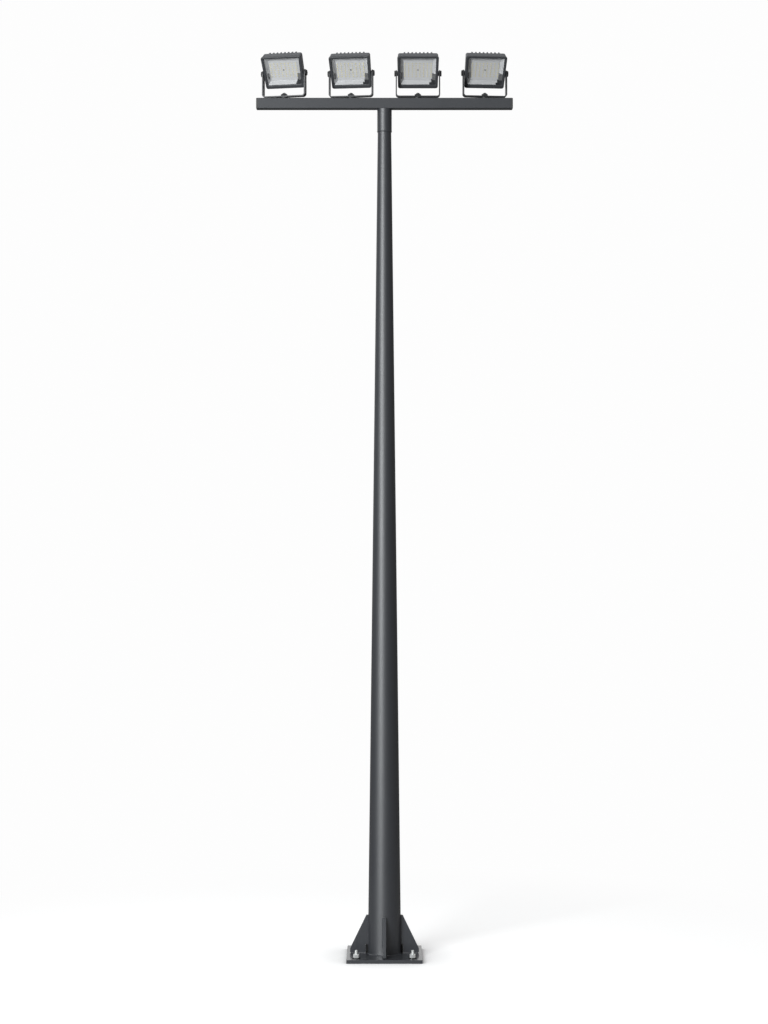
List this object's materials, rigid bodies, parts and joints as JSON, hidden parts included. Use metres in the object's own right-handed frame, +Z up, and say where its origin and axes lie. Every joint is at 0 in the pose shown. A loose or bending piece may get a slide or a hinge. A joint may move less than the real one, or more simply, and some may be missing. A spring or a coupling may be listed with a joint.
{
  "type": "crossbar floodlight pole",
  "caption": "Tapered steel mast on a gusseted base plate, with a crossbar that carries floodlights in swivelling, tilting yokes.",
  "frame": {"origin": "centre of the base plate's underside, where it meets the foundation", "axes": "+Z up along the mast, +X along the crossbar to the right, lights face -Y"},
  "size_m": [1.794, 0.525, 6.3246],
  "materials": {
    "mast_coat": "satin dark grey powder coat",
    "plate_coat": "satin dark grey powder coat",
    "crossbar_coat": "satin dark grey powder coat",
    "housing_coat": "satin dark grey cast aluminium",
    "bezel_coat": "satin near-black",
    "yoke_coat": "satin near-black",
    "bolt_dark": "blackened steel",
    "cap_plastic": "moulded",
    "knob_plastic": "moulded",
    "lens_glass": "clear",
    "tray_white": "white reflector",
    "zinc": "zinc plated",
    "led_yellow": "phosphor"
  },
  "bodies": {
    "mast": {"base_plate": "plate_coat", "gusset_front": "plate_coat", "gusset_back": "plate_coat", "gusset_left": "plate_coat", "gusset_right": "plate_coat", "mast_shaft": "mast_coat", "top_sleeve": "mast_coat", "crossbar": "crossbar_coat", "end_cap_left": "cap_plastic", "end_cap_right": "cap_plastic", "yoke_spacers": "bolt_dark", "pivot_bolt_1": "bolt_dark", "pivot_bolt_2": "bolt_dark", "pivot_bolt_3": "bolt_dark", "pivot_bolt_4": "bolt_dark"},
    "yoke_1": {"yoke_1": "yoke_coat"},
    "floodlight_1": {"housing_1": "housing_coat", "bezel_1": "bezel_coat", "lens_1": "lens_glass", "led_tray_1": "tray_white", "knob_left_1": "knob_plastic", "knob_right_1": "knob_plastic", "gland_1": "knob_plastic"},
    "yoke_2": {"yoke_2": "yoke_coat"},
    "floodlight_2": {"housing_2": "housing_coat", "bezel_2": "bezel_coat", "lens_2": "lens_glass", "led_tray_2": "tray_white", "knob_left_2": "knob_plastic", "knob_right_2": "knob_plastic", "gland_2": "knob_plastic"},
    "yoke_3": {"yoke_3": "yoke_coat"},
    "floodlight_3": {"housing_3": "housing_coat", "bezel_3": "bezel_coat", "lens_3": "lens_glass", "led_tray_3": "tray_white", "knob_left_3": "knob_plastic", "knob_right_3": "knob_plastic", "gland_3": "knob_plastic"},
    "yoke_4": {"yoke_4": "yoke_coat"},
    "floodlight_4": {"housing_4": "housing_coat", "bezel_4": "bezel_coat", "lens_4": "lens_glass", "led_tray_4": "tray_white", "knob_left_4": "knob_plastic", "knob_right_4": "knob_plastic", "gland_4": "knob_plastic"}
  },
  "joints": [
    {"name": "pan_1", "type": "hinge", "parent": "mast", "child": "yoke_1", "pos_m": [-0.702, 0, 6.0135], "axis": [0, 0, 1], "range_deg": [-77, 103]},
    {"name": "pan_2", "type": "hinge", "parent": "mast", "child": "yoke_2", "pos_m": [-0.234, 0, 6.0135], "axis": [0, 0, 1], "range_deg": [-82, 98]},
    {"name": "pan_3", "type": "hinge", "parent": "mast", "child": "yoke_3", "pos_m": [0.234, 0, 6.0135], "axis": [0, 0, 1], "range_deg": [-90, 90]},
    {"name": "pan_4", "type": "hinge", "parent": "mast", "child": "yoke_4", "pos_m": [0.702, 0, 6.0135], "axis": [0, 0, 1], "range_deg": [-96, 84]},
    {"name": "tilt_1", "type": "hinge", "parent": "yoke_1", "child": "floodlight_1", "pos_m": [-0.702, 0, 6.1795], "axis": [0.9744, -0.225, 0], "range_deg": [-65, 55]},
    {"name": "tilt_2", "type": "hinge", "parent": "yoke_2", "child": "floodlight_2", "pos_m": [-0.234, 0, 6.1795], "axis": [0.9903, -0.1392, 0], "range_deg": [-65, 55]},
    {"name": "tilt_3", "type": "hinge", "parent": "yoke_3", "child": "floodlight_3", "pos_m": [0.234, 0, 6.1795], "axis": [1, 0, 0], "range_deg": [-65, 55]},
    {"name": "tilt_4", "type": "hinge", "parent": "yoke_4", "child": "floodlight_4", "pos_m": [0.702, 0, 6.1795], "axis": [0.9945, 0.1045, 0], "range_deg": [-65, 55]}
  ]
}
